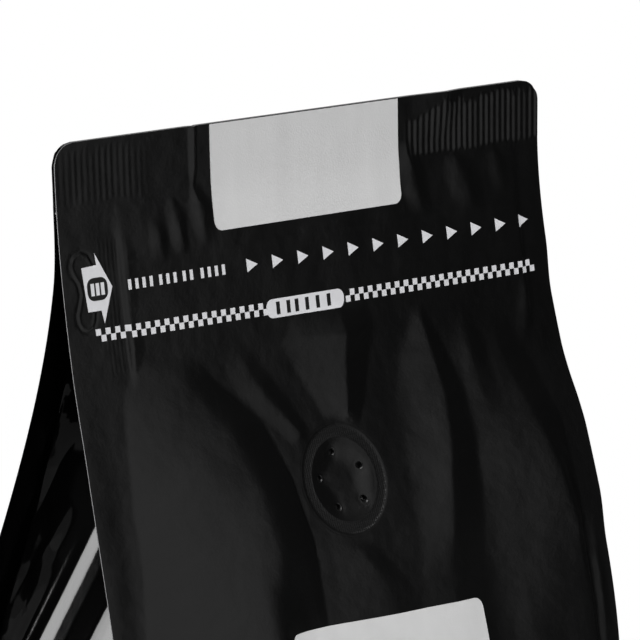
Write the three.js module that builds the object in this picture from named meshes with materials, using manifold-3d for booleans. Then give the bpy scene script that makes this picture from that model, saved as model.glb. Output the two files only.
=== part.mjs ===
// A flat-bottomed coffee bag, filled and shut. Two film panels are sealed flat to each other across the top,
// with a gusset folded in between them at each side. Below the seal the gussets open, until the bag stands
// on a flat rectangular base. A one-way valve is welded into the front, and two blank labels lie on it.
// Millimetres, +Z up, front face towards -Y. "drop" is always the distance below the top edge.
import * as THREE from 'three';
import { mergeVertices } from 'three/addons/utils/BufferGeometryUtils.js';
import Module from 'manifold-3d';

// Pack
const HEIGHT = 250;
const PANEL_WIDTH = 135;
const GUSSET_WIDTH = 76;
const TOP_CORNER_RADIUS = 5;
const BASE_EDGE_RADIUS = 4;
const SEAL_THICKNESS = 1;
const SEAL_DROP = 14;
const FIN_WIDTH = 7;
const FIN_THICKNESS = 0.4;

// How the filled pack opens below the seal: each span is the drop where it starts and the drop where it ends
const SIDE_OPENING = { from: 8, to: 175 };
const SLIT_OPENING = { from: SEAL_DROP, to: 22 };
const FIN_ENDING = { from: 234, to: 246 };
const LEFT_SWING = { from: -5, to: 170 };
const RIGHT_SWING = { from: 10, to: 130 };
const FRONT_SWING_DEPTH = 27;
const BELLY_SWELLING = { from: 65, to: 150 };
const BELLY_SETTLING = { from: 185, to: 250 };
const FRONT_BELLY = 8;
const BACK_BELLY = 8;
const GUSSET_BELLY = 3;
const BELLY_LEFT_AT_BASE = 0.25;
const BELLY_ROUNDNESS = 1.5;

// Crimped ribs, pressed into the seal where it holds the gussets as well
const RIB_PITCH = 1.6;
const RIB_GROOVE_WIDTH = 0.8;
const RIB_GROOVE_DEPTH = 0.2;
const RIB_TOP_DROP = 2.5;
const RIB_BOTTOM_DROP = 13;
const RIB_SIDE_MARGIN = 3;

// Valve
const VALVE_X = -1.4;
const VALVE_DROP = 75.8;
const VALVE_RADIUS = 11.2;
const VALVE_FLANGE_THICKNESS = 0.8;
const VALVE_CAP_RADIUS = 8.4;
const VALVE_CAP_RISE = 0.5;
const VALVE_CAP_EDGE = 0.6;
const VALVE_HOLES = 5;
const VALVE_HOLE_RADIUS = 0.55;
const VALVE_HOLE_DEPTH = 0.7;
const VALVE_HOLE_CIRCLE = 5.6;

// Labels
const LABEL_THICKNESS = 0.3;
const LABEL_CLEARANCE = 0.4;
const LABEL_CORNER_RADIUS = 2;
const TOP_LABEL = { x: 0.3, width: 52.6, top: 0.4, bottom: 22.2, squareTop: true };
const FRONT_LABEL = { x: 1, width: 54.4, top: 103.6, bottom: 190, squareTop: false };

// Fineness and clearance
const PANEL_STEPS = 14;
const GUSSET_STEPS = 4;
const LABEL_STEPS = 8;
const LABEL_ROW_HEIGHT = 9;
const ARC_STEPS = 4;
const SEAL_ROWS = 3;
const OPENING_ROWS = 4;
const BODY_ROW_HEIGHT = 8.5;
const ROUND_STEPS = 40;
const HOLE_STEPS = 12;
const CLEARANCE = 0.3;

const HALF_WIDTH = PANEL_WIDTH / 2;
const QUARTER_TURN = Math.PI / 2;

// Rises smoothly from 0 to 1 while the drop passes through the span.
function ease(span, drop) {
  return THREE.MathUtils.smoothstep(drop, span.from, span.to);
}

// Half the pack's width, which shrinks only at the rounded top corners.
function halfWidth(drop) {
  const intoCorner = Math.max(0, TOP_CORNER_RADIUS - drop);
  return HALF_WIDTH - TOP_CORNER_RADIUS + Math.sqrt(TOP_CORNER_RADIUS ** 2 - intoCorner ** 2);
}

// Distance between the front and back panels at the sides.
function depthAtSide(drop) {
  return SEAL_THICKNESS + (GUSSET_WIDTH - SEAL_THICKNESS) * ease(SIDE_OPENING, drop);
}

// How much of the full belly a panel has at one point: none at the fins and above the contents.
function bellyShare(x, drop) {
  const across = Math.min(1, Math.abs(x) / (HALF_WIDTH - FIN_WIDTH));
  const settled = 1 - (1 - BELLY_LEFT_AT_BASE) * ease(BELLY_SETTLING, drop);
  return (1 - across ** 2) ** BELLY_ROUNDNESS * ease(BELLY_SWELLING, drop) * settled;
}

function frontFace(x, drop) {
  const leftEdge = -FRONT_SWING_DEPTH * ease(LEFT_SWING, drop);
  const rightEdge = -FRONT_SWING_DEPTH * ease(RIGHT_SWING, drop);
  const edgeLine = THREE.MathUtils.mapLinear(x, -HALF_WIDTH, HALF_WIDTH, leftEdge, rightEdge);
  return edgeLine - FRONT_BELLY * bellyShare(x, drop);
}

function backFace(x, drop) {
  const edge = depthAtSide(drop) - FRONT_SWING_DEPTH * ease(LEFT_SWING, drop);
  const slack = frontFace(x, drop) + depthAtSide(drop) - edge + FRONT_BELLY * bellyShare(x, drop);
  return edge + slack * (1 - ease(SIDE_OPENING, drop)) + BACK_BELLY * bellyShare(x, drop);
}

// One side of the pack, from the tip of its front fin to the tip of its back fin: the gusset lies behind the
// fins and folds in between the panels as far as its own width lets it.
function sidePoints(side, drop) {
  const tip = halfWidth(drop);
  const open = ease(SLIT_OPENING, drop) * (1 - ease(FIN_ENDING, drop));
  const root = tip - FIN_WIDTH * open;
  const frontY = frontFace(side * tip, drop) + FIN_THICKNESS;
  const backY = backFace(side * tip, drop) - FIN_THICKNESS;
  const tipInset = FIN_THICKNESS * (1 - open) / 2;
  const halfGusset = GUSSET_WIDTH / 2;
  const halfDepth = Math.min(depthAtSide(drop) / 2, halfGusset);
  const fold = open * Math.sqrt(halfGusset ** 2 - halfDepth ** 2);
  const points = [new THREE.Vector2(side * tip, frontY - tipInset)];
  for (let i = 0; i <= GUSSET_STEPS; i += 1) {
    const t = i / GUSSET_STEPS;
    const foldedIn = fold * (1 - Math.abs(2 * t - 1));
    const belly = open * GUSSET_BELLY * ease(BELLY_SWELLING, drop) * (1 - (2 * t - 1) ** 2);
    points.push(new THREE.Vector2(side * (root - foldedIn + belly), THREE.MathUtils.lerp(frontY, backY, t)));
  }
  points.push(new THREE.Vector2(side * tip, backY + tipInset));
  return points;
}

function panelPoints(face, drop) {
  const points = [];
  for (let i = 0; i <= PANEL_STEPS; i += 1) {
    const x = halfWidth(drop) * (2 * i / PANEL_STEPS - 1);
    points.push(new THREE.Vector2(x, face(x, drop)));
  }
  return points;
}

// The pack's outline at one level, anticlockwise from above, drawn in where the base edge is rounded.
function packOutline(drop) {
  const outline = [
    ...panelPoints(frontFace, drop),
    ...sidePoints(1, drop),
    ...panelPoints(backFace, drop).reverse(),
    ...sidePoints(-1, drop).reverse(),
  ];
  const intoEdge = Math.max(0, BASE_EDGE_RADIUS - (HEIGHT - drop));
  const inset = BASE_EDGE_RADIUS - Math.sqrt(BASE_EDGE_RADIUS ** 2 - intoEdge ** 2);
  const middle = new THREE.Vector2(0, (frontFace(0, HEIGHT) + backFace(0, HEIGHT)) / 2);
  const shrink = new THREE.Vector2(1 - inset / HALF_WIDTH, 1 - 2 * inset / GUSSET_WIDTH);
  return outline.map((point) => point.sub(middle).multiply(shrink).add(middle));
}

// Evenly spaced drops from one level to the next, without the first.
function rowsBetween(from, to, count) {
  return Array.from({ length: count }, (_, i) => from + (to - from) * (i + 1) / count);
}

function packDrops() {
  const drops = [0];
  for (let i = 1; i <= ARC_STEPS; i += 1) {
    drops.push(TOP_CORNER_RADIUS * (1 - Math.cos(QUARTER_TURN * i / ARC_STEPS)));
  }
  drops.push(...rowsBetween(TOP_CORNER_RADIUS, SEAL_DROP, SEAL_ROWS));
  drops.push(...rowsBetween(SEAL_DROP, SLIT_OPENING.to, OPENING_ROWS));
  const edgeTop = HEIGHT - BASE_EDGE_RADIUS;
  const bodyRows = Math.ceil((edgeTop - SLIT_OPENING.to) / BODY_ROW_HEIGHT);
  drops.push(...rowsBetween(SLIT_OPENING.to, edgeTop, bodyRows));
  for (let i = 1; i <= ARC_STEPS; i += 1) {
    drops.push(edgeTop + BASE_EDGE_RADIUS * Math.sin(QUARTER_TURN * i / ARC_STEPS));
  }
  return drops;
}

// Closes an outline that bulges everywhere with a fan round its middle, the vertex numbered hub.
function fanCap(count, hub) {
  return Array.from({ length: count }, (_, i) => [i, (i + 1) % count, hub]);
}

// Closes the outline of a thin band, whose second half runs back along its first, with a ladder of quads.
function ladderCap(count) {
  return Array.from({ length: count / 2 - 1 }, (_, i) => i).flatMap((i) => [
    [i, i + 1, count - 2 - i],
    [i, count - 2 - i, count - 1 - i],
  ]);
}

// Joins outlines of equal length, listed from the top down, into one closed skin.
function loft(rows, cap) {
  const count = rows[0].outline.length;
  const positions = rows.flatMap(({ drop, outline }) => outline.flatMap(({ x, y }) => [x, y, HEIGHT - drop]));
  const index = [];
  for (let row = 0; row < rows.length - 1; row += 1) {
    for (let i = 0; i < count; i += 1) {
      const next = (i + 1) % count;
      const upper = row * count;
      const lower = upper + count;
      index.push(lower + i, lower + next, upper + next);
      index.push(lower + i, upper + next, upper + i);
    }
  }
  const lastRow = (rows.length - 1) * count;
  const hub = positions.length / 3;
  for (const { drop, outline } of [rows[0], rows.at(-1)]) {
    const middle = outline.reduce((sum, point) => sum.add(point), new THREE.Vector2()).divideScalar(count);
    positions.push(middle.x, middle.y, HEIGHT - drop);
  }
  cap(count, hub).forEach(([a, b, c]) => index.push(a, b, c));
  cap(count, hub + 1 - lastRow).forEach(([a, b, c]) => index.push(lastRow + c, lastRow + b, lastRow + a));
  const geometry = new THREE.BufferGeometry();
  geometry.setAttribute('position', new THREE.Float32BufferAttribute(positions, 3));
  geometry.setIndex(index);
  return geometry;
}

// The outline of a band that follows a panel at one level. Its two offsets off the panel's face are measured
// along Y, the lower one first.
function bandOutline(face, drop, { x, width, offsets, steps }) {
  const [low, high] = offsets.map((offset) => Array.from({ length: steps + 1 }, (_, i) => {
    const across = x + width * (i / steps - 0.5);
    return new THREE.Vector2(across, face(across, drop) + offset);
  }));
  return [...low, ...high.reverse()];
}

const wasm = await Module();
wasm.setup();

function toManifold(geometry) {
  const bare = geometry.clone();
  bare.deleteAttribute('normal');
  bare.deleteAttribute('uv');
  const merged = mergeVertices(bare);
  const corners = Array.from(merged.index.array);
  const triangles = [];
  for (let i = 0; i < corners.length; i += 3) {
    const [a, b, c] = corners.slice(i, i + 3);
    if (a !== b && b !== c && c !== a) triangles.push(a, b, c);
  }
  const mesh = new wasm.Mesh({
    numProp: 3,
    vertProperties: new Float32Array(merged.attributes.position.array),
    triVerts: new Uint32Array(triangles),
  });
  return new wasm.Manifold(mesh);
}

function toGeometry(manifold) {
  const mesh = manifold.getMesh();
  const geometry = new THREE.BufferGeometry();
  geometry.setAttribute('position', new THREE.BufferAttribute(mesh.vertProperties, 3));
  geometry.setIndex(new THREE.BufferAttribute(mesh.triVerts, 1));
  return geometry;
}

function subtractAll(geometry, cutters) {
  const left = cutters.reduce((rest, cutter) => rest.subtract(toManifold(cutter)), toManifold(geometry));
  return toGeometry(left);
}

// Stands a shape whose axis is +Y on the front panel at the valve, its +Y side outwards.
function placeAtValve(geometry) {
  const step = 1;
  const slopeX = (frontFace(VALVE_X + step, VALVE_DROP) - frontFace(VALVE_X - step, VALVE_DROP)) / (2 * step);
  const slopeZ = (frontFace(VALVE_X, VALVE_DROP - step) - frontFace(VALVE_X, VALVE_DROP + step)) / (2 * step);
  const outwards = new THREE.Vector3(slopeX, -1, slopeZ).normalize();
  const turn = new THREE.Quaternion().setFromUnitVectors(new THREE.Vector3(0, 1, 0), outwards);
  const place = new THREE.Vector3(VALVE_X, frontFace(VALVE_X, VALVE_DROP), HEIGHT - VALVE_DROP);
  return geometry.applyMatrix4(new THREE.Matrix4().compose(place, turn, new THREE.Vector3(1, 1, 1)));
}

// The valve's flange lies in this shallow round seat, with a clearance all round and behind.
function valveSeat() {
  const depth = VALVE_FLANGE_THICKNESS + CLEARANCE;
  const radius = VALVE_RADIUS + CLEARANCE;
  return placeAtValve(new THREE.CylinderGeometry(radius, radius, 2 * depth, ROUND_STEPS));
}

// Grooves that leave the crimped ribs standing, on both faces and at both ends of the top seal.
function ribGrooves() {
  const grooves = [];
  const ribbedWidth = GUSSET_WIDTH / 2 - RIB_SIDE_MARGIN;
  const count = Math.floor(ribbedWidth / RIB_PITCH);
  const faces = [
    { face: frontFace, offsets: [-CLEARANCE, RIB_GROOVE_DEPTH] },
    { face: backFace, offsets: [-RIB_GROOVE_DEPTH, CLEARANCE] },
  ];
  for (const { face, offsets } of faces) {
    for (const side of [-1, 1]) {
      for (let i = 0; i < count; i += 1) {
        const x = side * (HALF_WIDTH - RIB_SIDE_MARGIN - RIB_PITCH * i);
        const band = { x, width: RIB_GROOVE_WIDTH, offsets, steps: 1 };
        const ends = [RIB_TOP_DROP, RIB_BOTTOM_DROP];
        const rows = ends.map((drop) => ({ drop, outline: bandOutline(face, drop, band) }));
        grooves.push(loft(rows, ladderCap));
      }
    }
  }
  return grooves;
}

function makeBag() {
  const skin = loft(packDrops().map((drop) => ({ drop, outline: packOutline(drop) })), fanCap);
  return subtractAll(skin, [valveSeat(), ...ribGrooves()]);
}

// A flange with a low cap on it, pierced by a ring of small vents.
function makeValve() {
  const profile = [
    [0, -VALVE_FLANGE_THICKNESS],
    [VALVE_RADIUS, -VALVE_FLANGE_THICKNESS],
    [VALVE_RADIUS, 0],
    [VALVE_CAP_RADIUS, 0],
    [VALVE_CAP_RADIUS - VALVE_CAP_EDGE, VALVE_CAP_RISE],
    [0, VALVE_CAP_RISE],
  ].map(([radius, height]) => new THREE.Vector2(radius, height));
  const body = new THREE.LatheGeometry(profile, ROUND_STEPS);
  const vents = Array.from({ length: VALVE_HOLES }, (_, i) => {
    const angle = 2 * Math.PI * i / VALVE_HOLES;
    const x = VALVE_HOLE_CIRCLE * Math.cos(angle);
    const z = VALVE_HOLE_CIRCLE * Math.sin(angle);
    const radius = VALVE_HOLE_RADIUS;
    return new THREE.CylinderGeometry(radius, radius, 2 * VALVE_HOLE_DEPTH, HOLE_STEPS)
      .translate(x, VALVE_CAP_RISE, z);
  });
  return placeAtValve(subtractAll(body, vents));
}

// A thin label that follows the front panel. Its corners are rounded, but not the top ones of a label whose
// top edge runs along the top of the pack.
function makeLabel({ x, width, top, bottom, squareTop }) {
  const radius = LABEL_CORNER_RADIUS;
  const straightTop = squareTop ? top : top + radius;
  const straightBottom = bottom - radius;
  const bodyRows = Math.ceil((straightBottom - straightTop) / LABEL_ROW_HEIGHT);
  const levels = [{ drop: straightTop, narrowing: 0 }];
  rowsBetween(straightTop, straightBottom, bodyRows).forEach((drop) => levels.push({ drop, narrowing: 0 }));
  for (let i = 1; i <= ARC_STEPS; i += 1) {
    const angle = QUARTER_TURN * i / ARC_STEPS;
    const corner = { along: radius * Math.sin(angle), narrowing: radius * (1 - Math.cos(angle)) };
    levels.push({ drop: straightBottom + corner.along, narrowing: corner.narrowing });
    if (!squareTop) levels.unshift({ drop: straightTop - corner.along, narrowing: corner.narrowing });
  }
  const offsets = [-LABEL_CLEARANCE - LABEL_THICKNESS, -LABEL_CLEARANCE];
  const rows = levels.map(({ drop, narrowing }) => {
    const band = { x, width: width - 2 * narrowing, offsets, steps: LABEL_STEPS };
    return { drop, outline: bandOutline(frontFace, drop, band) };
  });
  return loft(rows, ladderCap);
}

function piece(name, geometry, color, roughness) {
  const mesh = new THREE.Mesh(geometry, new THREE.MeshStandardMaterial({ color, roughness, metalness: 0 }));
  mesh.name = name;
  return mesh;
}

const group = new THREE.Group();
group.add(piece('bag', makeBag(), 0x0b0b0c, 0.45));
group.add(piece('valve', makeValve(), 0x0d0d0e, 0.35));
group.add(piece('top_label', makeLabel(TOP_LABEL), 0xc3c4c5, 0.6));
group.add(piece('front_label', makeLabel(FRONT_LABEL), 0xc8c9ca, 0.6));

// The origin lies under the middle of the pack, on the surface that it stands on.
const extent = new THREE.Box3().setFromObject(group);
const middle = extent.getCenter(new THREE.Vector3());
group.position.set(-middle.x, -middle.y, -extent.min.z);

export default group;
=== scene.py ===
# A flat-bottomed coffee bag of black laminated film, filled and shut, standing by itself.
# Lengths inside the sections are millimetres, and MM turns them into Blender's metres.
# "Drop" is the distance below the bag's top edge, and left and right are as seen from in front.
import math

import bmesh
import bpy
import numpy as np
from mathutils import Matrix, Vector


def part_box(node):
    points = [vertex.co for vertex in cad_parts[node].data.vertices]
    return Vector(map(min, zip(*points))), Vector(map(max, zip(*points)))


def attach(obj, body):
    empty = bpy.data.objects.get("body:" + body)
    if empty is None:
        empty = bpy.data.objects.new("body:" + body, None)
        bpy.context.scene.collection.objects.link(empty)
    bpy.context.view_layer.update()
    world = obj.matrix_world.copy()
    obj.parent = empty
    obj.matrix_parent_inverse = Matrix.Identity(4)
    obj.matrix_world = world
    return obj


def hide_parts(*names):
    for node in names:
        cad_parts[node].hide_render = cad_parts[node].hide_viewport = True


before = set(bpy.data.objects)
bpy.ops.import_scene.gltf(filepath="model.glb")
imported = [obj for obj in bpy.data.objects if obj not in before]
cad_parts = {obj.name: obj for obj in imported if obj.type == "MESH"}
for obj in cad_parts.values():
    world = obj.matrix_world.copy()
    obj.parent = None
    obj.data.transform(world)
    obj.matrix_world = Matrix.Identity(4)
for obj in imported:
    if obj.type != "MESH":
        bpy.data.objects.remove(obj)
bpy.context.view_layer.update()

# ---------------------------------------------------------------------------------------------------------
# Front film. One printed panel of dull black laminate, heat-sealed to the gussets at its sides and crimped
# to the back at its top. A tape zipper is welded behind it, and below that the coffee presses folds into it.
# ---------------------------------------------------------------------------------------------------------
MM = 0.001
bag_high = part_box("bag")[1]
height = bag_high.z / MM
half_width = bag_high.x / MM
label_gap = 0.4
top_line_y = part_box("top_label")[1].y / MM + label_gap
gusset_width = 76
seal_thickness = 1
seal_drop = 14
top_corner_radius = 5
base_edge_radius = 4
fin_width = 7
# How far the front stands before its top line at the bottom, how far it bellies out, and how far its right
# edge is drawn back under the zipper and pushed out beside the valve
front_swing = 27
front_belly = 8
edge_wave = 1.1


def ease(low, high, value):
    """Rises smoothly from 0 to 1 while value passes from low to high."""
    t = np.clip((value - low) / (high - low), 0, 1)
    return t * t * (3 - 2 * t)


def window(low, high, value, blur):
    """1 between low and high, falling to 0 within blur outside them."""
    return ease(low - blur, low, value) * (1 - ease(high, high + blur, value))


def edge_x(drop):
    """Half the pouch's width, drawn in at the rounded top corners."""
    into_corner = np.maximum(0, top_corner_radius - drop)
    return half_width - top_corner_radius + np.sqrt(top_corner_radius**2 - into_corner**2)


def belly(x, drop):
    """Share of the bulge that the coffee presses into a panel, which settles again towards the base."""
    across = np.minimum(1, np.abs(x) / (half_width - fin_width))
    return (1 - across**2) ** 1.5 * ease(65, 150, drop) * (1 - 0.75 * ease(185, height, drop))


def front_plain(x, drop):
    """Y of the front panel without its folds. It swings out below the seal, the right side a little later."""
    left = -front_swing * ease(-5, 170, drop)
    right = -front_swing * ease(10, 130, drop)
    right += edge_wave * (window(46, 56, drop, 12) - window(74, 86, drop, 12))
    share = (x + half_width) / (2 * half_width)
    return top_line_y + left * (1 - share) + right * share - front_belly * belly(x, drop)


def ridge(x, drop, crest, roundness, foot):
    """Height of one fold. Each point of its crest is (x, drop, width of left flank, of right flank, height).
    A roundness of 2 gives a pillow, 1 a sharp crest. A foot of 1 ends in a crease, one over 1 softly."""
    table = np.array(crest, float)
    top, left, right, rise = (np.interp(drop, table[:, 1], table[:, k]) for k in (0, 2, 3, 4))
    offset = x - top
    flank = np.where(offset < 0, left, right)
    share = np.clip(np.abs(offset) / np.maximum(flank, 0.01), 0, 1)
    along = (drop >= table[0, 1]) & (drop <= table[-1, 1])
    return np.where(along, rise * (1 - share**roundness) ** foot, 0)


def distance_to_path(x, drop, path):
    """Distance to a path, and 1 on the right of its direction or -1 on the left."""
    best = np.full(np.shape(x), 1e9)
    side = np.zeros(np.shape(x))
    for (x0, d0), (x1, d1) in zip(path, path[1:]):
        length = math.hypot(x1 - x0, d1 - d0)
        ux, ud = (x1 - x0) / length, (d1 - d0) / length
        along = np.clip((x - x0) * ux + (drop - d0) * ud, 0, length)
        gap = np.hypot(x - x0 - along * ux, drop - d0 - along * ud)
        nearer = gap < best
        best = np.where(nearer, gap, best)
        side = np.where(nearer, np.sign((x - x0) * ud - (drop - d0) * ux), side)
    return best, side


zip_top, zip_bottom = 25, 45.5
zip_left, zip_right = -51.2, 59.5
zip_rise = 0.5
valve_x, valve_drop, valve_radius = -1.4, 75.8, 11.2
valve_seat = 1.8

# Folds between the zipper and the base, each with its crest, roundness and foot
long_folds = [
    # a short pleat from the zipper down to the top of the valve
    ([(5.5, 41, 12, 8, 0), (5.6, 47, 17, 9, 2.0), (3.6, 60, 8, 6, 1.3), (2, 67, 4, 3, 0.3)], 1, 1.1),
    # a short pleat that runs down to the valve from the left
    ([(-25, 45, 5, 4, 0), (-19, 55, 6.5, 5, 0.55), (-10, 66, 4.5, 3, 0.4), (-8, 69, 4, 2, 0)], 1.3, 1.3),
    # two pleats to the right of the valve
    ([(28, 44, 2, 1.5, 0), (29.5, 54, 10, 5, 1.3), (30, 62, 13, 7, 1.8), (28, 72, 12, 9, 1.7),
      (25, 84, 10, 10, 1.4), (22, 96, 9, 10, 1.1), (20.5, 113, 9, 10, 0.9), (20, 150, 9, 9, 0.6),
      (20, 190, 9, 8, 0)], 1.3, 1.7),
    ([(40, 45, 4, 3, 0), (40.5, 54, 8, 5, 0.6), (41, 64, 7, 5, 0.25), (41, 70, 6, 5, 0)], 1.4, 1.5),
    # the long fold down the right-hand side, and the narrow one beside the seal
    ([(47, 46, 8, 4, 0), (49.5, 58, 12, 8, 0.8), (53, 70, 17, 8, 1.7), (56, 80, 21, 5, 2.4),
      (58, 92, 25, 3.5, 2.9), (58.5, 116, 30, 3, 3.3), (58, 160, 30, 4, 2.6), (57, 225, 28, 5, 0.4),
      (57, 245, 26, 5, 0)], 1.35, 1.2),
    ([(64.4, 92, 2, 2, 0), (64, 106, 2.4, 2, 0.3), (64, 140, 2.4, 2, 0.3), (64, 175, 2, 2, 0)], 1, 1.3),
    # the broad pillow down the left-hand side
    ([(-44, 46, 5, 9, 0), (-39, 52, 16, 8, 1.0), (-31, 62, 25, 11, 2.6), (-27, 74, 30, 12, 4.0),
      (-26, 87, 31, 13, 4.6), (-28, 104, 31, 14, 4.9), (-31, 140, 29, 16, 4.4), (-31, 200, 28, 20, 2.0),
      (-30, 246, 28, 20, 0)], 1.7, 1),
    # the low one under the valve
    ([(-4, 87, 5, 4, 0), (1, 94, 10, 6, 0.8), (4, 101, 14, 8, 1.0), (5, 120, 15, 9, 0.8),
      (5, 150, 15, 9, 0)], 1.4, 1.2),
]

# Puckers in the crimped seal, others that run from it to the zipper, and one at the zipper's right end
seal_puckers = [
    ([(-30.2, -1, 1.6, 0.7, 0.5), (-30.4, 9, 1.4, 0.7, 0.4), (-31, 13.5, 0.6, 0.5, 0)], 1, 1),
    ([(-31, 12, 1, 2, 0), (-29.5, 17, 2.5, 3.5, 0.8), (-28.5, 25, 3, 3.5, 0)], 1, 1.2),
    ([(-37, 14, 1.5, 1, 0), (-36, 18, 2.5, 2, 0.55), (-35.2, 23, 3, 1.5, 0.5), (-35, 26, 2.5, 1.5, 0)],
     1.4, 1.2),
    ([(-41.5, 17, 2, 1.5, 0), (-41.2, 22, 3, 2.2, 0.45), (-41, 27, 3, 2, 0)], 1.4, 1.2),
    ([(40.5, -1, 10, 5, 0.8), (40.5, 4, 10, 5, 0.7), (39, 10, 9, 4, 0)], 1.1, 1.2),
    ([(28.8, 9, 2, 1, 0), (29.6, 14, 4, 3.6, 0.75), (31, 20, 4, 3.4, 0.7), (32.5, 26, 3, 3, 0)], 1.2, 1.2),
    ([(42, 13, 2, 1.5, 0), (44.2, 17, 5, 4.5, 0.65), (46, 22, 5, 4.5, 0.6), (47, 27, 4, 4, 0)], 1.2, 1.2),
    ([(54, 13, 2, 1.5, 0), (55.3, 17, 3.5, 2.2, 0.5), (56.6, 24, 3, 2.4, 0)], 1.2, 1.2),
    ([(61.2, 38, 2, 1, 0), (60.3, 44, 3, 1.8, 0.3), (58, 52, 3, 2, 0.15), (57, 56, 3, 1, 0)], 1.3, 1.4),
]

# Outline of the pull tab, which is pressed through the film as a groove with a bead along its inside
tab_groove, tab_bead, tab_line = 0.16, 0.12, 0.35
tab_outline = [(-58.9, 25.4), (-60.2, 23.1), (-62.1, 22.2), (-64.3, 22.9), (-65.3, 24.7), (-64.8, 26.8),
               (-63.5, 28.8), (-63.1, 30.9), (-63.8, 32.9), (-64.6, 34.8), (-64.5, 36.7), (-63.6, 38.1),
               (-62.1, 38.6), (-60.4, 37.9), (-59.6, 36.3), (-59.4, 35)]

# Each rib is crimped a little differently
rib_pitch, rib_height, rib_count = 1.6, 0.15, 96
rib_random = np.random.default_rng(5)
rib_depths = rib_random.uniform(0.55, 1.1, rib_count)
rib_starts = rib_random.uniform(-0.9, 1.1, rib_count)


def crimped_ribs(x, drop, left_share):
    """Ribs from the sealing jaws, at both ends of the seal, with the left ones pressed to this share."""
    number = np.clip(np.round(x / rib_pitch).astype(int) + rib_count // 2, 0, rib_count - 1)
    start = 2.4 + rib_starts[number] + 3 * window(20, 30, x, 12) * (x > 0)
    end = 12.2 + 0.4 * rib_starts[number]
    ribbed = left_share * window(-67, -47, x, 6) + window(31, 67, x, 3)
    tall = rib_height * rib_depths[number] * ribbed * window(start, end, drop, 0.8)
    return tall * np.cos(2 * math.pi * x / rib_pitch)


def seal_buckles(x, drop):
    """Puckers of the seal, which both films share as far as the seal goes."""
    return sum(ridge(x, drop, crest, roundness, foot) for crest, roundness, foot in seal_puckers)


crushed_end = [(-50.4, 20, 0.8, 1.5, 0), (-50.2, 24, 1.2, 2.4, 0.13), (-50.3, 29, 1, 2, 0.08),
               (-50.8, 37, 0.8, 2, 0.04), (-50.9, 43, 1.6, 3, 0.2), (-51.6, 48.6, 0.6, 1, 0)]
# Lines that the tape's edges and profiles press through the film: (drop, height)
tape_lines = ((25.6, 0.10), (33.2, 0.03), (35.0, 0.02))
crush_pitch, crush_rise = 1.1, 0.022


def zipper_relief(x, drop):
    """The tape zipper behind the film, whose left end is crushed by the side seal."""
    rise = zip_rise * window(zip_left, zip_right, x, 1.5)
    rise *= ease(zip_top - 13, zip_top, drop) * (1 - ease(zip_bottom, zip_bottom + 7, drop))
    rise += ridge(x, drop, crushed_end, 1, 1)
    crush = np.cos(2 * math.pi * x / crush_pitch + 0.8 * np.sin(drop / 3.1))
    crush *= 0.6 + 0.4 * np.sin(drop / 2.3 + 3 * x)
    rise += crush_rise * window(-57.5, -51.8, x, 0.6) * window(22, 47, drop, 2) * crush
    for tape_line, line_rise in tape_lines:
        rise += line_rise * np.exp(-((drop - tape_line) / 0.35) ** 2) * window(-48, 56, x, 4)
    return rise


def front_relief(x, drop):
    """How far the front film stands out of its plain form."""
    rise = np.zeros(np.shape(x))
    label_calm = 1 - 0.7 * window(-18, 28, x, 14) * window(104, 190, drop, 20)
    for crest, roundness, foot in long_folds:
        rise += ridge(x, drop, crest, roundness, foot) * label_calm
    rise += seal_buckles(x, drop) + crimped_ribs(x, drop, 0.2) + zipper_relief(x, drop)
    # the left-hand side seal stands out a little, turned by the gusset's pull
    rise += 0.45 * (1 - ease(-half_width, 8 - half_width, x)) * window(66, 190, drop, 20)
    # the pull tab
    gap, side = distance_to_path(x, drop, tab_outline)
    rise += tab_bead * np.exp(-((gap - 0.45) / tab_line) ** 2) * (side > 0)
    rise -= tab_groove * np.exp(-((gap / tab_line) ** 2))
    # all folds run out at the stiff ring of the valve
    from_valve = np.hypot(x - valve_x, drop - valve_drop)
    return rise * ease(valve_radius, valve_radius + 3, from_valve)


def front_y(x, drop):
    """Y of the front film's outer face, apart from the seat under the valve's own film."""
    return front_plain(x, drop) - front_relief(x, drop)


def inside_ring(from_valve):
    """1 inside the valve's ring, and 0 from its outer edge on."""
    return 1 - ease(valve_radius - 0.9, valve_radius + 0.1, from_valve)


def front_seated_y(x, drop):
    """Y of the front film with the seat under the valve's own film."""
    return front_y(x, drop) + valve_seat * inside_ring(np.hypot(x - valve_x, drop - valve_drop))


# All films share these rows, so that their edges meet. Close rows are (top, bottom, cuts), where the ribs,
# the zipper and the folds are.
film_rows = 200
panel_columns = 120
film_length = height - base_edge_radius + math.pi / 2 * base_edge_radius
close_rows = ((0, 15.2, 3), (20, 118, 1))


def refine(film, left, right, top, bottom, cuts):
    """Subdivides the part of a flat film between these shares of its width and these drops."""
    bpy.context.view_layer.objects.active = film
    bpy.ops.object.mode_set(mode="EDIT")
    bpy.ops.mesh.select_mode(type="FACE")
    bpy.ops.mesh.select_all(action="DESELECT")
    mesh = bmesh.from_edit_mesh(film.data)
    for face in mesh.faces:
        middle = face.calc_center_median()
        across, down = middle.x + 0.5, (0.5 - middle.y) * film_length
        face.select_set(left < across < right and top < down < bottom)
    bmesh.update_edit_mesh(film.data)
    bpy.ops.mesh.subdivide(number_cuts=cuts)
    bpy.ops.object.mode_set(mode="OBJECT")


def cut_film(name, columns):
    """A flat film one unit square, with the rows that all films share."""
    bpy.ops.object.select_all(action="DESELECT")
    bpy.ops.mesh.primitive_grid_add(x_subdivisions=columns, y_subdivisions=film_rows, size=1)
    film = bpy.context.object
    film.name = film.data.name = name
    for top, bottom, cuts in close_rows:
        refine(film, 0, 1, top, bottom, cuts)
    return film


def read_points(film):
    """The vertices' places, one row each."""
    flat = np.empty(len(film.data.vertices) * 3)
    film.data.vertices.foreach_get("co", flat)
    return flat.reshape(-1, 3)


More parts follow.
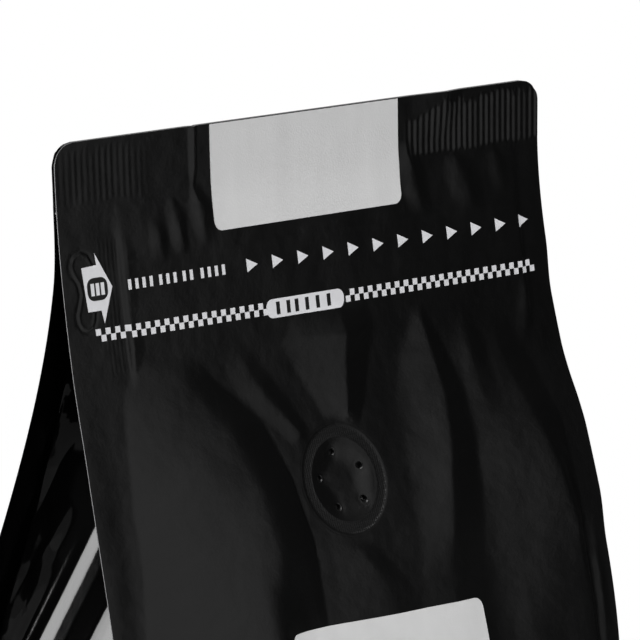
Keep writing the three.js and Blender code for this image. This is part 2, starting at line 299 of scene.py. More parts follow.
def write_points(film, x, y, z):
    """Moves the vertices to these places, given in millimetres, and smooths the shading."""
    film.data.vertices.foreach_set("co", (np.column_stack([x, y, z]) * MM).ravel())
    film.data.update()
    bpy.ops.object.select_all(action="DESELECT")
    film.select_set(True)
    bpy.context.view_layer.objects.active = film
    bpy.ops.object.shade_smooth()


def film_place(points):
    """For each point of a flat film: its share of the width, its drop, how far it is drawn in under the base
    edge, and its height."""
    down = (0.5 - points[:, 1]) * film_length
    drop = np.minimum(down, height - base_edge_radius)
    turn = (down - drop) / base_edge_radius
    drawn_in = base_edge_radius * (1 - np.cos(turn))
    return points[:, 0] + 0.5, drop, drawn_in, height - drop - base_edge_radius * np.sin(turn)


def hang_panel(film, face, outwards):
    """Hangs a flat film as the front or back panel, and turns its last stretch under the base edge."""
    share, drop, drawn_in, z = film_place(read_points(film))
    tip = edge_x(drop)
    x = (2 * share - 1) * tip
    y = face(x, drop) - outwards * drawn_in
    write_points(film, x * (tip - drawn_in) / tip, y, z)


front_film = cut_film("front_film", panel_columns)
# finer at the pull tab and at the valve
refine(front_film, 0.02, 0.15, 21, 48, 1)
refine(front_film, 0.38, 0.60, 62, 90, 1)
hang_panel(front_film, front_seated_y, -1)

# The laminate's gloss wanders a little, its face has fine handling wrinkles, and its black two close tones
grain_scale, grain_share, patch_scale, cool_cast = 1500, 0.05, 22, 1.03
film_grain = bpy.data.node_groups.new("film_grain", "ShaderNodeTree")
for socket in ("Wrinkle scale", "Dull", "Dull spread"):
    film_grain.interface.new_socket(socket, in_out="INPUT", socket_type="NodeSocketFloat")
for socket in ("Tone", "Roughness", "Height"):
    film_grain.interface.new_socket(socket, in_out="OUTPUT", socket_type="NodeSocketFloat")
grain_nodes, grain_links = film_grain.nodes, film_grain.links
grain_given = grain_nodes.new("NodeGroupInput")
grain_made = grain_nodes.new("NodeGroupOutput")
grain_place = grain_nodes.new("ShaderNodeTexCoord")
wrinkles, grain, patches = (grain_nodes.new("ShaderNodeTexNoise") for _ in range(3))
for noise, detail in ((wrinkles, 3), (grain, 2), (patches, 2)):
    noise.inputs["Detail"].default_value = detail
    grain_links.new(grain_place.outputs["Object"], noise.inputs["Vector"])
wrinkles.inputs["Roughness"].default_value = 0.45
grain_links.new(grain_given.outputs["Wrinkle scale"], wrinkles.inputs["Scale"])
grain.inputs["Scale"].default_value = grain_scale
patches.inputs["Scale"].default_value = patch_scale
dull = grain_nodes.new("ShaderNodeMapRange")
dull_high = grain_nodes.new("ShaderNodeMath")
dull_high.operation = "ADD"
grain_links.new(grain_given.outputs["Dull"], dull_high.inputs[0])
grain_links.new(grain_given.outputs["Dull spread"], dull_high.inputs[1])
grain_links.new(patches.outputs["Fac"], dull.inputs["Value"])
grain_links.new(grain_given.outputs["Dull"], dull.inputs["To Min"])
grain_links.new(dull_high.outputs["Value"], dull.inputs["To Max"])
grain_height = grain_nodes.new("ShaderNodeMath")
grain_height.operation = "MULTIPLY_ADD"
grain_height.inputs[1].default_value = grain_share
grain_links.new(grain.outputs["Fac"], grain_height.inputs[0])
grain_links.new(wrinkles.outputs["Fac"], grain_height.inputs[2])
grain_links.new(patches.outputs["Fac"], grain_made.inputs["Tone"])
grain_links.new(dull.outputs["Result"], grain_made.inputs["Roughness"])
grain_links.new(grain_height.outputs["Value"], grain_made.inputs["Height"])


def film_material(name, tones, wrinkle_scale, wrinkle_depth, dull, dull_spread, specular=0.5):
    """A film finish: two close tones, a wandering gloss, and wrinkles too shallow to model."""
    material = bpy.data.materials.new(name)
    material.use_nodes = True
    nodes, links = material.node_tree.nodes, material.node_tree.links
    shader = nodes["Principled BSDF"]
    shader.inputs["Specular IOR Level"].default_value = specular
    face = nodes.new("ShaderNodeGroup")
    face.node_tree = film_grain
    face.inputs["Wrinkle scale"].default_value = wrinkle_scale
    face.inputs["Dull"].default_value = dull
    face.inputs["Dull spread"].default_value = dull_spread
    tone = nodes.new("ShaderNodeMix")
    tone.data_type = "RGBA"
    for socket, grey in zip(("A", "B"), tones):
        tone.inputs[socket].default_value = (grey, grey, grey * cool_cast, 1)
    links.new(face.outputs["Tone"], tone.inputs["Factor"])
    links.new(tone.outputs["Result"], shader.inputs["Base Color"])
    links.new(face.outputs["Roughness"], shader.inputs["Roughness"])
    relief = nodes.new("ShaderNodeBump")
    relief.inputs["Distance"].default_value = wrinkle_depth
    links.new(face.outputs["Height"], relief.inputs["Height"])
    links.new(relief.outputs["Normal"], shader.inputs["Normal"])
    return material


matte_film = film_material("matte_film", (0.0010, 0.0018), wrinkle_scale=75, wrinkle_depth=0.0006,
                           dull=0.27, dull_spread=0.08)
front_film.data.materials.append(matte_film)
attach(front_film, "root")
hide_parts("bag")

# ---------------------------------------------------------------------------------------------------------
# Back film. The same laminate without print, hanging slack against the front above the coffee and bellied
# out by it below. The lip across the top shows the cut ends of all the layers.
# ---------------------------------------------------------------------------------------------------------
back_belly = 8
back_slack = 1.25
back_folds = [
    # two broad pillows that start as pleats under the seal
    ([(-30, 20, 4, 4, 0), (-35, 40, 11, 10, 0.7), (-35, 62, 17, 18, 1.5), (-31, 95, 24, 24, 2.3),
      (-29, 150, 26, 26, 2.0), (-30, 240, 24, 26, 0)], 1.6, 1.3),
    ([(24, 18, 4, 4, 0), (31, 44, 14, 10, 0.9), (31, 70, 22, 16, 1.8), (28, 110, 26, 22, 2.2),
      (30, 170, 26, 22, 1.6), (30, 242, 24, 22, 0)], 1.6, 1.3),
    # creases that run down from the zipper between and beside them
    ([(-16, 42, 4, 4, 0), (-10, 56, 8, 8, 0.6), (-2, 80, 10, 9, 0.8), (4, 108, 8, 8, 0)], 1.2, 1.4),
    ([(12, 42, 4, 4, 0), (9, 58, 6, 8, 0.5), (12, 76, 7, 8, 0)], 1.2, 1.4),
    ([(50, 46, 5, 4, 0), (54, 66, 9, 5, 0.7), (53, 100, 8, 5, 0)], 1.2, 1.4),
    ([(-51, 56, 4, 6, 0), (-54, 80, 5, 10, 0.8), (-51, 118, 5, 9, 0)], 1.2, 1.4),
    # shallow buckles across the lower half
    ([(-20, 150, 14, 12, 0), (-14, 164, 18, 14, 0.7), (-6, 182, 14, 12, 0)], 1.6, 1.6),
    ([(34, 134, 12, 12, 0), (28, 150, 16, 14, 0.6), (20, 168, 12, 12, 0)], 1.6, 1.6),
]


def free_share(drop):
    """How far the back has left the front, from 0 in the seal to 1 where the gussets are spread flat."""
    return ease(8, 175, drop)


def depth_at_side(drop):
    """How far the gussets hold the back panel's edges from the front panel's."""
    slack = back_slack * ease(10, 30, drop) * (1 - ease(130, 165, drop))
    return seal_thickness + (gusset_width - seal_thickness) * free_share(drop) - slack


def back_y(x, drop):
    """Y of the back film's outer face. It follows the front at the seal, and hangs by itself lower down."""
    edge = top_line_y + depth_at_side(drop) - front_swing * ease(-5, 170, drop)
    hanging = front_plain(x, drop) + front_belly * belly(x, drop) + depth_at_side(drop)
    free = free_share(drop)
    rise = back_belly * belly(x, drop)
    for crest, roundness, foot in back_folds:
        rise += ridge(x, drop, crest, roundness, foot)
    rise -= crimped_ribs(x, drop, 1) + seal_buckles(x, drop) * (1 - ease(8, seal_drop, drop))
    return hanging * (1 - free) + edge * free + rise


back_film = cut_film("back_film", panel_columns)
hang_panel(back_film, back_y, 1)
back_film.data.flip_normals()

# The lip is extruded from the back film's top edge to the front film's: first the black layers behind, then
# the front film's white core, which shows where it is cut
cut_edge = film_material("cut_edge", (0.13, 0.22), wrinkle_scale=300, wrinkle_depth=0.0001,
                         dull=0.45, dull_spread=0.1)
white_core = 0.22
bpy.ops.object.mode_set(mode="EDIT")
bpy.ops.mesh.select_mode(type="EDGE")
bpy.ops.mesh.select_all(action="DESELECT")
back_mesh = bmesh.from_edit_mesh(back_film.data)
top_z = (height - 0.001) * MM
for edge in back_mesh.edges:
    edge.select_set(all(vertex.co.z > top_z for vertex in edge.verts))
bmesh.update_edit_mesh(back_film.data)
for lip_y, lip_material in ((white_core, 0), (0, 1)):
    bpy.ops.mesh.extrude_region_move()
    back_mesh = bmesh.from_edit_mesh(back_film.data)
    for vertex in back_mesh.verts:
        if vertex.select:
            vertex.co.y = (front_y(vertex.co.x / MM, 0.0) + lip_y) * MM
    for face in back_mesh.faces:
        newest = sum(vertex.select for vertex in face.verts) == 2
        if newest and all(vertex.co.z > top_z for vertex in face.verts):
            face.material_index = lip_material
    bmesh.update_edit_mesh(back_film.data)
bpy.ops.object.mode_set(mode="OBJECT")
bpy.ops.object.shade_smooth()
back_film.data.materials.append(matte_film)
back_film.data.materials.append(cut_edge)
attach(back_film, "root")
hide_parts("bag")

# ---------------------------------------------------------------------------------------------------------
# Gussets. A strip of glossier film down each side, sealed to the panels along narrow fins. It folds in
# between them under the top seal, and the coffee pushes it out flat lower down. Slanting creases cross it.
# ---------------------------------------------------------------------------------------------------------
# A gusset's columns from front to back: the cut edge of the front film, a fin, the folded strip, a fin, and
# the edge of the back film
edge_columns, fin_columns, fold_columns = 1, 5, 92
gusset_columns = 2 * (edge_columns + fin_columns) + fold_columns
fin_calm = 0.06
# Drops between which the fins open out under the seal, close again over the base, and the fold spreads out
fins_open, fins_close, fold_spreads = (seal_drop, 22), (224, 245), (16, 68)
pushed_out = 3.5

# Slanting creases: (how far the crest lies behind the front fin at the creases' drop, width of the facet
# behind the crest, width of the one before it, height, drop where it starts and ends)
crease_slant, crease_drop = 0.9, 83
gusset_creases = [
    (8.6, 4.0, 14, 0.52, 66, 150),
    (4.8, 3.8, 8, 0.28, 86, 150),
    (15.7, 0.95, 3, 0.050, 91, 118),
    (-9.5, 8, 14, 1.3, 97, 160),
]
# Short slanting dents behind them: (middle behind the fin, middle drop, lean, length, width, height)
gusset_dents = [
    (14, 58, 0.8, 10, 2.5, 0.36), (20, 66, 0.9, 14, 3, 0.60), (26, 74, 0.8, 12, 2.5, 0.50),
    (31, 78, 0.9, 16, 3.5, 0.60), (24, 84, 1.0, 12, 2.5, 0.50), (37, 90, 0.9, 18, 4, 0.85),
    (32, 98, 1.0, 14, 3, 0.62), (46, 104, 0.8, 20, 5, 1.1), (41, 116, 0.9, 16, 4, 0.8),
    (55, 122, 0.8, 18, 5, 0.5), (50, 140, 1.0, 20, 5, 0.45), (62, 150, 0.8, 22, 6, 0.5),
]


def gusset_relief(behind, drop):
    """How far a gusset's film stands out sideways, at this distance behind the front film."""
    rise = np.zeros(np.shape(drop))
    lane = behind - crease_slant * (drop - crease_drop)
    for crest, after, before, tall, start, end in gusset_creases:
        offset = lane - crest
        share = np.clip(np.abs(offset) / np.where(offset > 0, after, before), 0, 1)
        rise += tall * (1 - share) * window(start, end, drop, 12)
    calm_at_creases = ease(17, 22, lane)
    for middle, middle_drop, lean, length, width, tall in gusset_dents:
        along = ((behind - middle) * lean + (drop - middle_drop)) / math.hypot(lean, 1)
        across = ((behind - middle) - (drop - middle_drop) * lean) / math.hypot(lean, 1)
        flank = np.where(across > 0, 4 * width, width)
        dent = np.maximum(0, 1 - np.abs(across) / flank) * np.maximum(0, 1 - (along / length) ** 2)
        rise += tall * dent * calm_at_creases
    return rise


def closed_share(column):
    """How far back a gusset's column lies, as a share of the gusset's depth, where it has no fins."""
    return np.clip((column - edge_columns) / (gusset_columns - 2 * edge_columns), 0, 1)


def hang_gusset(film, side):
    """Folds a flat film into a gusset, on the left for side -1 and on the right for 1."""
    share, drop, drawn_in, z = film_place(read_points(film))
    tip = edge_x(drop)
    near, far = front_y(side * tip, drop), back_y(side * tip, drop)
    finned = ease(*fins_open, drop) * (1 - ease(*fins_close, drop))
    column = share * gusset_columns
    from_edge = np.minimum(column, gusset_columns - column)
    edge_share = np.clip(from_edge / edge_columns, 0, 1)
    fin_share = np.clip((from_edge - edge_columns) / fin_columns, 0, 1)
    fold_share = np.clip((column - edge_columns - fin_columns) / fold_columns, 0, 1)
    core = np.minimum(white_core, (far - near) / 3) * edge_share
    behind_share = closed_share(column) * (1 - finned) + fold_share * finned
    y = near + core + (far - near - 2 * core) * behind_share
    half_gusset = gusset_width / 2
    half_depth = np.minimum(depth_at_side(drop) / 2, half_gusset)
    folded = finned * np.sqrt(half_gusset**2 - half_depth**2) * (1 - ease(*fold_spreads, drop))
    pressed = pushed_out * finned * ease(112, 175, drop)
    middle = 2 * fold_share - 1
    x = tip - fin_width * finned * fin_share - folded * (1 - np.abs(middle)) + pressed * (1 - middle**2)
    at_front, at_back = 1 - ease(0, fin_calm, fold_share), ease(1 - fin_calm, 1, fold_share)
    x += gusset_relief(y - near, drop) * (1 - at_front) * (1 - at_back) * finned * ease(30, 66, drop)
    # the fins lie against the panels, whatever folds those have
    y += at_front * (front_y(side * x, drop) - near) + at_back * (back_y(side * x, drop) - far)
    # under the rounded base edge all is drawn in towards the middle
    toward_middle = (near + far) / 2 - y
    y += toward_middle * drawn_in / ((far - near) / 2)
    write_points(film, side * (x - drawn_in), y, z)
    bpy.ops.object.shade_smooth_by_angle(angle=math.radians(35))


gusset_film = film_material("gusset_film", (0.0008, 0.0016), wrinkle_scale=70, wrinkle_depth=0.00008,
                            dull=0.06, dull_spread=0.05, specular=0.12)
for side, name in ((-1, "left_gusset"), (1, "right_gusset")):
    gusset = cut_film(name, gusset_columns)
    for face in gusset.data.polygons:
        face.material_index = 1 if face.center.x + 0.5 < edge_columns / gusset_columns else 0
    hang_gusset(gusset, side)
    if side < 0:
        gusset.data.flip_normals()
    gusset.data.materials.append(gusset_film)
    gusset.data.materials.append(cut_edge)
    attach(gusset, "root")
    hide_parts("bag")

# ---------------------------------------------------------------------------------------------------------
# Base. A panel of the laminate welded in under the rounded bottom edge, so that the bag stands by itself.
# It rests on the weld round its rim, and its middle is pulled in a little along the folds to the corners.
# ---------------------------------------------------------------------------------------------------------
base_weld = 8
base_hollow = 1.2
corner_fold, corner_fold_rise, corner_fold_width = 40, 0.4, 3
weld_line_rise, weld_line_pitch = 0.12, 1.6


def hang_base(film):
    """Fits a flat film into the ring that the panels and gussets leave at the bottom."""
    points = read_points(film)
    across, column = points[:, 0] * 2, (points[:, 1] + 0.5) * gusset_columns
    base_drop = height - base_edge_radius
    tip = float(edge_x(base_drop))
    x = across * tip
    near = front_y(x, base_drop) + base_edge_radius
    far = back_y(x, base_drop) - base_edge_radius
    core_share = white_core / (float(back_y(tip, base_drop)) - float(front_y(tip, base_drop)))
    from_edge = np.minimum(column, gusset_columns - column)
    core = core_share * (far - near) * np.clip(from_edge / edge_columns, 0, 1)
    y = near + core + (far - near - 2 * core) * closed_share(column)
    x = across * (tip - base_edge_radius)
    from_rim = np.minimum(tip - base_edge_radius - np.abs(x), np.minimum(y - near, far - y))
    from_fold = np.abs(np.abs(x) - (tip - corner_fold) - np.abs(y - (near + far) / 2))
    z = base_hollow * ease(base_weld - 1, base_weld + 3, from_rim)
    z += corner_fold_rise * ease(base_weld, 20, from_rim) * (1 - np.minimum(1, from_fold / corner_fold_width))
    weld_line = 0.5 + 0.5 * np.cos(2 * math.pi * from_rim / weld_line_pitch)
    z += weld_line_rise * window(1.5, base_weld - 2, from_rim, 0.8) * weld_line
    write_points(film, x, y, z)


bpy.ops.object.select_all(action="DESELECT")
bpy.ops.mesh.primitive_grid_add(x_subdivisions=panel_columns, y_subdivisions=gusset_columns, size=1)
base_film = bpy.context.object
base_film.name = base_film.data.name = "base_film"
hang_base(base_film)
base_film.data.flip_normals()
base_film.data.materials.append(matte_film)
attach(base_film, "root")
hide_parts("bag")

# ---------------------------------------------------------------------------------------------------------
# Valve. A one-way valve is welded behind the film, which shows its ring of fine weld dots. Inside the ring
# the film hangs slack over the valve's cup and is pierced by five vents.
# ---------------------------------------------------------------------------------------------------------
ring_lip, lip_rise, ring_depth = 11.6, 0.07, 0.12
cup_radius, cup_floor, cup_depth, cup_bead = 8.5, 3.0, 1.0, 0.06
vents = [(-1.09, -5.56), (5.21, -2.10), (4.37, 4.53), (-2.70, 5.43), (-5.86, -0.68)]
vent_radius, vent_depth, vent_rim, vent_dimple = 0.66, 1.1, 0.05, 0.30
ring_step, cup_step, cup_steps = 0.15, 0.4, 19

bpy.ops.object.select_all(action="DESELECT")
bpy.ops.mesh.primitive_circle_add(vertices=144, radius=ring_lip * MM, fill_type="NGON")
valve_film = bpy.context.object
valve_film.name = valve_film.data.name = "valve_film"
bpy.ops.object.mode_set(mode="EDIT")
bpy.ops.mesh.select_mode(type="FACE")
bpy.ops.mesh.select_all(action="SELECT")
ring_steps = round((ring_lip - cup_radius + 0.5) / ring_step)
for step in [ring_step] * ring_steps + [cup_step] * cup_steps:
    bpy.ops.mesh.inset(thickness=step * MM)
bpy.ops.mesh.poke()
bpy.ops.mesh.select_all(action="DESELECT")
valve_mesh = bmesh.from_edit_mesh(valve_film.data)
for face in valve_mesh.faces:
    middle = face.calc_center_median() / MM
    face.select_set(any(math.hypot(middle.x - x, middle.y + drop) < 1.5 for x, drop in vents))
bmesh.update_edit_mesh(valve_film.data)
bpy.ops.mesh.subdivide(number_cuts=2)
bpy.ops.object.mode_set(mode="OBJECT")


def valve_relief(x, drop):
    """Height of the valve's film above the front film, at this place from the valve's middle."""
    from_middle = np.hypot(x, drop)
    rise = lip_rise - (lip_rise + ring_depth) * inside_ring(from_middle)
    rise += cup_bead * np.exp(-(((from_middle - cup_radius) / 0.35) ** 2))
    slack = np.hypot(x + 0.4, drop * 0.92)
    rise -= cup_depth * ease(cup_radius - 0.2, cup_floor, slack)
    for vent_x, vent_drop in vents:
        from_vent = np.hypot(x - vent_x, drop - vent_drop)
        rise -= vent_dimple * np.exp(-((from_vent / 1.5) ** 2))
        rise += vent_rim * np.exp(-(((from_vent - vent_radius - 0.2) / 0.25) ** 2))
        rise -= vent_depth * (1 - ease(vent_radius - 0.15, vent_radius + 0.05, from_vent))
    return rise


valve_points = read_points(valve_film) / MM
flat_x, flat_drop = valve_points[:, 0], -valve_points[:, 1]
seat_x, seat_drop = valve_x + flat_x, valve_drop + flat_drop
seat_y = front_y(seat_x, seat_drop) - valve_relief(flat_x, flat_drop)
write_points(valve_film, seat_x, seat_y, height - seat_drop)

weld_dot_pitch = 0.55
weld_dots = film_material("weld_dots", (0.0010, 0.0018), wrinkle_scale=60, wrinkle_depth=0.0001,
                          dull=0.36, dull_spread=0.1, specular=0.42)
dot_nodes, dot_links = weld_dots.node_tree.nodes, weld_dots.node_tree.links
dot_place = dot_nodes.new("ShaderNodeTexCoord")
dots = dot_nodes.new("ShaderNodeTexVoronoi")
dots.inputs["Scale"].default_value = 1 / (weld_dot_pitch * MM)
dots.inputs["Randomness"].default_value = 0.15
dot_links.new(dot_place.outputs["Object"], dots.inputs["Vector"])
dot_relief = dot_nodes.new("ShaderNodeBump")
dot_relief.inputs["Distance"].default_value = 0.00008
dot_relief.invert = True
dot_links.new(dots.outputs["Distance"], dot_relief.inputs["Height"])
dot_links.new(dot_relief.outputs["Normal"], dot_nodes["Principled BSDF"].inputs["Normal"])
valve_film.data.materials.append(matte_film)
valve_film.data.materials.append(weld_dots)
for face in valve_film.data.polygons:
    middle = face.center / MM
    from_middle = math.hypot(middle.x - valve_x, height - valve_drop - middle.z)
    face.material_index = 1 if cup_radius < from_middle < valve_radius - 0.4 else 0
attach(valve_film, "root")
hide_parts("valve")

# ---------------------------------------------------------------------------------------------------------
# Labels. Two blank fields of light grey paper, one at the middle of the top edge and one below the valve.
# Each is cut with rounded corners and glued down, so it follows the film.
# ---------------------------------------------------------------------------------------------------------
paper_thickness, paper_lift = 0.12, 0.16
paper_corner, paper_pitch = 2, 1.7


def box_outline(left, right, top, bottom):
    return [(left, top), (left, bottom), (right, bottom), (right, top)]


def flat_shape(name, outline):
    """A flat shape with this outline, listed anticlockwise as (x, drop)."""
    bpy.ops.object.select_all(action="DESELECT")
    bpy.ops.mesh.primitive_circle_add(vertices=len(outline), radius=1, fill_type="NGON")
    shape = bpy.context.object
    shape.name = shape.data.name = name
    for vertex, (x, drop) in zip(shape.data.vertices, outline):
        vertex.co = (x * MM, -drop * MM, 0)
    return shape


def round_corners(shape, radius, lowest_only=False):
    """Rounds a flat shape's corners, or only those at its lower end."""
    bpy.context.view_layer.objects.active = shape
    lowest = min(vertex.co.y for vertex in shape.data.vertices)
    bpy.ops.object.mode_set(mode="EDIT")
    bpy.ops.mesh.select_mode(type="VERT")
    bpy.ops.mesh.select_all(action="DESELECT")
    mesh = bmesh.from_edit_mesh(shape.data)
    for vertex in mesh.verts:
        vertex.select_set(vertex.co.y < lowest + 0.1 * MM or not lowest_only)
    bmesh.update_edit_mesh(shape.data)
    bpy.ops.mesh.bevel(offset=radius * MM, segments=6, affect="VERTICES")
    bpy.ops.object.mode_set(mode="OBJECT")


def slice_up(shape, pitch):
    """Cuts a flat shape across and down every so many millimetres, so that it can follow the film."""
    bpy.context.view_layer.objects.active = shape
    bpy.ops.object.mode_set(mode="EDIT")
    bpy.ops.mesh.select_mode(type="FACE")
    places = [vertex.co / MM for vertex in shape.data.vertices]
    for axis in (0, 1):
        low = min(place[axis] for place in places)
        high = max(place[axis] for place in places)
        cuts = max(1, round((high - low) / pitch))
        for k in range(1, cuts):
            at = [0, 0, 0]
            at[axis] = (low + (high - low) * k / cuts) * MM
            bpy.ops.mesh.select_all(action="SELECT")
            bpy.ops.mesh.bisect(plane_co=at, plane_no=(axis == 0, axis == 1, 0), threshold=1e-7)
    bpy.ops.object.mode_set(mode="OBJECT")


def lay_on_film(shape, lift, thickness, material):
    """Lays a flat shape on the front film, gives it its thickness inwards, and finishes it."""
    points = read_points(shape) / MM
    x, drop = points[:, 0], -points[:, 1]
    write_points(shape, x, front_y(x, drop) - lift, height - drop)
    body = shape.modifiers.new("thickness", "SOLIDIFY")
    body.thickness = thickness * MM
    body.offset = -1
    bpy.ops.object.modifier_apply(modifier=body.name)
    bpy.ops.object.shade_smooth_by_angle(angle=math.radians(40))
    shape.data.materials.append(material)
    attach(shape, "root")


grey_paper = bpy.data.materials.new("grey_paper")
grey_paper.use_nodes = True
paper_nodes, paper_links = grey_paper.node_tree.nodes, grey_paper.node_tree.links
paper_shader = paper_nodes["Principled BSDF"]
paper_shader.inputs["Roughness"].default_value = 0.55
paper_place = paper_nodes.new("ShaderNodeTexCoord")
paper_stretch = paper_nodes.new("ShaderNodeMapping")
paper_stretch.inputs["Scale"].default_value = (140, 140, 14)
paper_streaks = paper_nodes.new("ShaderNodeTexNoise")
paper_streaks.inputs["Scale"].default_value = 1
paper_streaks.inputs["Detail"].default_value = 4
paper_tone = paper_nodes.new("ShaderNodeValToRGB")
paper_tone.color_ramp.elements[0].position = 0.3
paper_tone.color_ramp.elements[0].color = (0.66, 0.66, 0.66, 1)
paper_tone.color_ramp.elements[1].position = 0.7
paper_tone.color_ramp.elements[1].color = (0.71, 0.71, 0.71, 1)
paper_fibre = paper_nodes.new("ShaderNodeTexNoise")
paper_fibre.inputs["Scale"].default_value = 2500
paper_relief = paper_nodes.new("ShaderNodeBump")
paper_relief.inputs["Distance"].default_value = 0.00003
paper_links.new(paper_place.outputs["Object"], paper_stretch.inputs["Vector"])
paper_links.new(paper_stretch.outputs["Vector"], paper_streaks.inputs["Vector"])
paper_links.new(paper_streaks.outputs["Fac"], paper_tone.inputs["Fac"])
paper_links.new(paper_tone.outputs["Color"], paper_shader.inputs["Base Color"])
paper_links.new(paper_place.outputs["Object"], paper_fibre.inputs["Vector"])
paper_links.new(paper_fibre.outputs["Fac"], paper_relief.inputs["Height"])
paper_links.new(paper_relief.outputs["Normal"], paper_shader.inputs["Normal"])

for name, left, right, top, bottom in (("top_label_paper", -26, 26.6, 0.15, 22.2),
                                       ("front_label_paper", -26.2, 28.2, 103.6, 190)):
    label = flat_shape(name, box_outline(left, right, top, bottom))
    round_corners(label, paper_corner, lowest_only=name.startswith("top"))
    slice_up(label, paper_pitch)
    lay_on_film(label, paper_lift, paper_thickness, grey_paper)
    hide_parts(name.removesuffix("_paper"))

# ---------------------------------------------------------------------------------------------------------
# Print. White ink on the front film: an arrow with a dark badge at the pull tab, a row of short bars, a row
# of small triangles along the tear line, and a chequered strip along the zipper with a plate in its middle.
# ---------------------------------------------------------------------------------------------------------
ink_lift, ink_thickness, ink_over_ink = 0.10, 0.06, 0.05
ink_pitch, tab_pitch = 0.9, 0.35

white_ink = film_material("white_ink", (0.72, 0.80), wrinkle_scale=500, wrinkle_depth=0.00003,
                          dull=0.4, dull_spread=0.1)
black_ink = film_material("black_ink", (0.004, 0.007), wrinkle_scale=500, wrinkle_depth=0.00003,
                          dull=0.35, dull_spread=0.1)


def print_shape(name, outline, radius=0, over=0, ink=white_ink, pitch=ink_pitch):
    """Prints a shape on the front film, over so many layers of ink, with its corners rounded if asked."""
    shape = flat_shape(name, outline)
    if radius:
        round_corners(shape, radius)
    slice_up(shape, pitch)
    lay_on_film(shape, ink_lift + over * ink_over_ink, ink_thickness, ink)
    return shape


def join_pieces(name, pieces):
    """Joins printed shapes of one kind into one piece."""
    bpy.ops.object.select_all(action="DESELECT")
    for piece in pieces:
        piece.select_set(True)
    bpy.context.view_layer.objects.active = pieces[0]
    bpy.ops.object.join()
    pieces[0].name = pieces[0].data.name = name


print_shape("tab_arrow", [(-62.3, 25.6), (-61.6, 34.6), (-58.1, 34.6), (-57.6, 37.3), (-54.6, 30.1),
                          (-58.6, 22.9), (-58.3, 25.4)], pitch=tab_pitch)
print_shape("tab_badge", box_outline(-61.3, -55.9, 27.9, 32.5), radius=1.7, over=1, ink=black_ink,
            pitch=tab_pitch)
badge_bars = [print_shape("tab_badge_bar", box_outline(left, left + 0.9, 29.0, 31.5), over=2, pitch=tab_pitch)
              for left in (-60.4, -59.05, -57.7)]
join_pieces("tab_badge_bars", badge_bars)

# Groups of bars beside the tab: (left end, how many)
bar_groups = ((-50.8, 4), (-42.4, 3), (-36.0, 2), (-31.1, 4))
bar_pitch, bar_width = 1.95, 0.85
bar_top, bar_bottom = 29.15, 31.25
word_bars = []
for group_left, count in bar_groups:
    for k in range(count):
        left = group_left + k * bar_pitch
        word_bars.append(print_shape("word_bar", box_outline(left, left + bar_width, bar_top, bar_bottom)))
join_pieces("word_bars", word_bars)

arrow_count, arrow_pitch, arrow_climb = 12, 7.11, 0.03
arrow_left, arrow_drop, arrow_long, arrow_tall = -18.4, 30.1, 3.0, 2.8
tear_arrows = []
for k in range(arrow_count):
    left, middle = arrow_left + k * arrow_pitch, arrow_drop - k * arrow_climb
    tear_arrows.append(print_shape("tear_arrow", [
        (left, middle - arrow_tall / 2), (left, middle + arrow_tall / 2), (left + arrow_long, middle)]))
join_pieces("tear_arrows", tear_arrows)

check_pitch, check_size, check_drop = 2.57, 1.31, 39.5
check_left, check_count = -60.2, 48
plate_left, plate_right, plate_top, plate_bottom = -14.3, 7.4, 37.75, 41.65
under_plate = 0.4
checks = []
for k in range(check_count):
    for row in (0, 1):
        left = check_left + k * check_pitch + row * check_pitch / 2
        top = check_drop - check_size * (1 - row)
        if left + check_size < plate_left + under_plate or left > plate_right - under_plate:
            checks.append(print_shape("check", box_outline(left, left + check_size, top, top + check_size)))
join_pieces("zip_checks", checks)
print_shape("zip_plate", box_outline(plate_left, plate_right, plate_top, plate_bottom), radius=1.7)
plate_bars = [print_shape("zip_plate_bar", box_outline(left, left + 1.0, 38.4, 41.0), over=1, ink=black_ink)
              for left in (-11.6, -8.7, -6.4, -3.5, -0.5, 2.6)]
join_pieces("zip_plate_bars", plate_bars)

# ---------------------------------------------------------------------------------------------------------
# Stage, lights and camera. A pale table top, a white studio wall that only the camera sees at full strength,
# and soft boxes above, in front, at the left and behind. They give the dark film its light and dark fields.
# ---------------------------------------------------------------------------------------------------------
bpy.ops.object.select_all(action="DESELECT")
bpy.ops.mesh.primitive_circle_add(vertices=96, radius=0.5, fill_type="NGON", location=(0, 0, 0))
floor = bpy.context.object
floor.name = "floor"
floor_paint = bpy.data.materials.new("floor_paint")
floor_paint.use_nodes = True
floor_shader = floor_paint.node_tree.nodes["Principled BSDF"]
floor_shader.inputs["Base Color"].default_value = (0.8, 0.8, 0.8, 1)
floor_shader.inputs["Roughness"].default_value = 0.7
floor.data.materials.append(floor_paint)

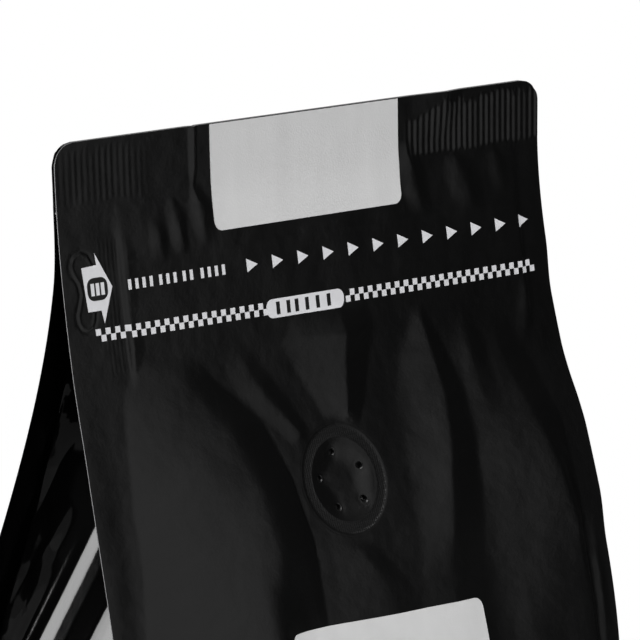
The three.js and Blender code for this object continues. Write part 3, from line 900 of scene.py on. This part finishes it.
studio = bpy.data.worlds.new("studio")
bpy.context.scene.world = studio
studio.use_nodes = True
studio_nodes, studio_links = studio.node_tree.nodes, studio.node_tree.links
wall = studio_nodes["Background"]
wall.inputs["Color"].default_value = (1, 1, 1, 1)
wall.inputs["Strength"].default_value = 1.0
dim_room = studio_nodes.new("ShaderNodeBackground")
dim_room.inputs["Color"].default_value = (1, 1, 1, 1)
dim_room.inputs["Strength"].default_value = 0.02  # what the film mirrors between the soft boxes
seen = studio_nodes.new("ShaderNodeLightPath")
either = studio_nodes.new("ShaderNodeMixShader")
studio_links.new(seen.outputs["Is Camera Ray"], either.inputs["Fac"])
studio_links.new(dim_room.outputs["Background"], either.inputs[1])
studio_links.new(wall.outputs["Background"], either.inputs[2])
studio_links.new(either.outputs["Shader"], studio_nodes["World Output"].inputs["Surface"])


def add_soft_box(name, azimuth, elevation, distance, width, tall, radiance):
    """A soft box facing the bag's upper half, in metres. Azimuth 0 is in front, and goes up to the left."""
    target = Vector((0, 0, 0.17))
    turn, lift = math.radians(azimuth), math.radians(elevation)
    away = Vector((-math.sin(turn) * math.cos(lift), -math.cos(turn) * math.cos(lift), math.sin(lift)))
    bpy.ops.object.light_add(type="AREA", location=target + away * distance)
    lamp = bpy.context.object
    lamp.name = name
    lamp.data.shape = "RECTANGLE"
    lamp.data.size, lamp.data.size_y = width, tall
    lamp.data.energy = radiance * math.pi * width * tall
    lamp.rotation_euler = away.to_track_quat("Z", "Y").to_euler()
    lamp.visible_camera = False


add_soft_box("top_box", azimuth=10, elevation=62, distance=1.0, width=0.7, tall=0.7, radiance=6.0)
add_soft_box("front_box", azimuth=-3.6, elevation=6, distance=0.4, width=0.45, tall=0.36, radiance=0.32)
add_soft_box("inner_box", azimuth=4, elevation=6, distance=0.39, width=0.30, tall=0.34, radiance=0.19)
add_soft_box("side_box", azimuth=105, elevation=4, distance=1.0, width=0.9, tall=1.0, radiance=0.45)
add_soft_box("back_box", azimuth=153.5, elevation=0, distance=1.0, width=0.38, tall=0.6, radiance=12)
add_soft_box("rear_box", azimuth=212, elevation=30, distance=1.2, width=0.9, tall=0.9, radiance=0.7)

bpy.ops.object.camera_add()
camera = bpy.context.object
bpy.context.scene.camera = camera
camera.data.lens = 393.75
camera.data.sensor_width = 36
camera.data.clip_end = 20
# The view is from the left and a little above, at the upper half of the front
view_turn, view_lift, view_distance = math.radians(42), math.radians(10.52), 1.4555
aim = Vector((-2.7, top_line_y - 8.3, height - 42.8)) * MM
backwards = Vector((-math.sin(view_turn) * math.cos(view_lift),
                    -math.cos(view_turn) * math.cos(view_lift), math.sin(view_lift)))
camera.location = aim + backwards * view_distance
camera.rotation_euler = backwards.to_track_quat("Z", "Y").to_euler()
bpy.context.scene.view_settings.view_transform = "Standard"
